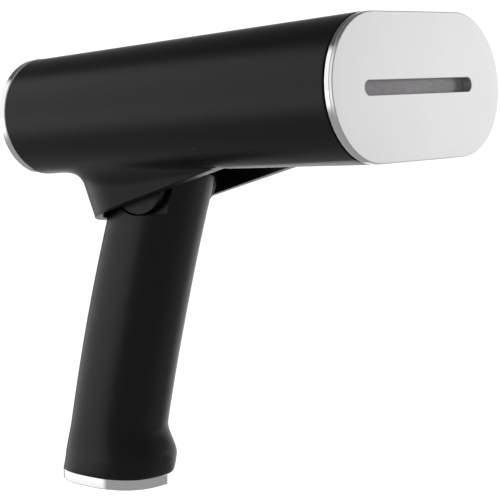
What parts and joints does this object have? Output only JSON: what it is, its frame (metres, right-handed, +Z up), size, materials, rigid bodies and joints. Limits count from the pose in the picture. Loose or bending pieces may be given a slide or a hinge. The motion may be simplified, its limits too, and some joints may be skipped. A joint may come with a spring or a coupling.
{
  "type": "garment steamer",
  "caption": "Hand-held garment steamer with a wide flat steam plate on a tapered head and a pistol grip that folds forward under it.",
  "frame": {"origin": "centre of the underside of the grip's base ring", "axes": "+Z up along the grip from its base, +X forward out of the steam plate, +Y to the left"},
  "size_m": [0.1722, 0.1024, 0.1882],
  "materials": {
    "body_plastic": "satin soft-touch moulded",
    "inner_plastic": "moulded, fine texture",
    "chassis_plastic": "moulded",
    "button_plastic": "smooth gloss",
    "plate_aluminium": "satin brushed steam plate",
    "chrome_trim": "polished plating",
    "diffuser_steel": "brushed",
    "cast_aluminium": "cast",
    "element_steel": "oxidised tube",
    "steel": "zinc plated",
    "spring_steel": "bright wire",
    "brass": "turned",
    "seal_silicone": "moulded silicone",
    "seal_grey": "moulded silicone",
    "pad_rubber": "cellular pad",
    "tube_silicone": "extruded silicone",
    "board": "circuit board",
    "pump_blue": "moulded pump body",
    "mica": "pressed heat shield",
    "ceramic": "ceramic body",
    "terminal_nylon": "natural nylon",
    "switch_plastic": "moulded switch body",
    "tank_clear": "clear moulded tank",
    "light_clear": "frosted light guide",
    "gland_rubber": "moulded"
  },
  "bodies": {
    "handle": {"handle_shell_left": "body_plastic", "handle_shell_right": "body_plastic", "base_ring": "chrome_trim", "base_cap": "inner_plastic", "cord_gland": "gland_rubber", "base_screws": "steel", "terminal_block": "terminal_nylon", "steam_button_spring": "spring_steel", "steam_switch": "switch_plastic", "switch_bracket": "chassis_plastic", "hinge_bushes": "brass", "detent_balls": "steel", "detent_springs": "spring_steel"},
    "head": {"hinge_pin": "steel", "hinge_arm_left": "body_plastic", "hinge_arm_right": "body_plastic", "arm_screws": "steel", "body_housing": "body_plastic", "front_trim_ring": "chrome_trim", "steam_plate": "plate_aluminium", "front_frame": "inner_plastic", "diffuser_plate": "diffuser_steel", "plate_gasket": "seal_silicone", "chamber_cover": "cast_aluminium", "heater_block": "cast_aluminium", "heating_element": "element_steel", "heater_screws": "steel", "water_inlet": "brass", "thermostat": "ceramic", "thermal_fuse": "steel", "heat_shield": "mica", "chassis": "chassis_plastic", "pump": "pump_blue", "pump_pad": "pad_rubber", "feed_tube": "tube_silicone", "suction_tube": "tube_silicone", "control_board": "board", "board_screws": "steel", "water_tank": "tank_clear", "rear_trim_ring": "chrome_trim", "rear_cover": "inner_plastic", "power_spring": "spring_steel", "light_ring": "light_clear", "rear_board": "board", "filler_pin": "steel"},
    "steam_button": {"steam_button": "button_plastic"},
    "power_button": {"power_button": "button_plastic"},
    "filler_door": {"filler_door": "inner_plastic", "filler_seal": "seal_grey"}
  },
  "joints": [
    {"name": "head_fold", "type": "hinge", "parent": "handle", "child": "head", "pos_m": [0.0263, 0, 0.1242], "axis": [0, 1, 0], "range_deg": [0, 90]},
    {"name": "steam_button_press", "type": "slide", "parent": "handle", "child": "steam_button", "axis": [0.9642, 0, -0.2653], "range_m": [0, 0.0015], "stiffness_N_per_m": 1200, "springref_m": -0.001, "deforming": ["steam_button_spring"]},
    {"name": "power_button_press", "type": "slide", "parent": "head", "child": "power_button", "axis": [0.9962, 0, 0.0872], "range_m": [0, 0.001], "stiffness_N_per_m": 1500, "springref_m": -0.001, "deforming": ["power_spring"]},
    {"name": "filler_door_open", "type": "hinge", "parent": "head", "child": "filler_door", "pos_m": [-0.01426, 0.022, 0.14374], "axis": [0, -1, 0], "range_deg": [0, 90]}
  ]
}
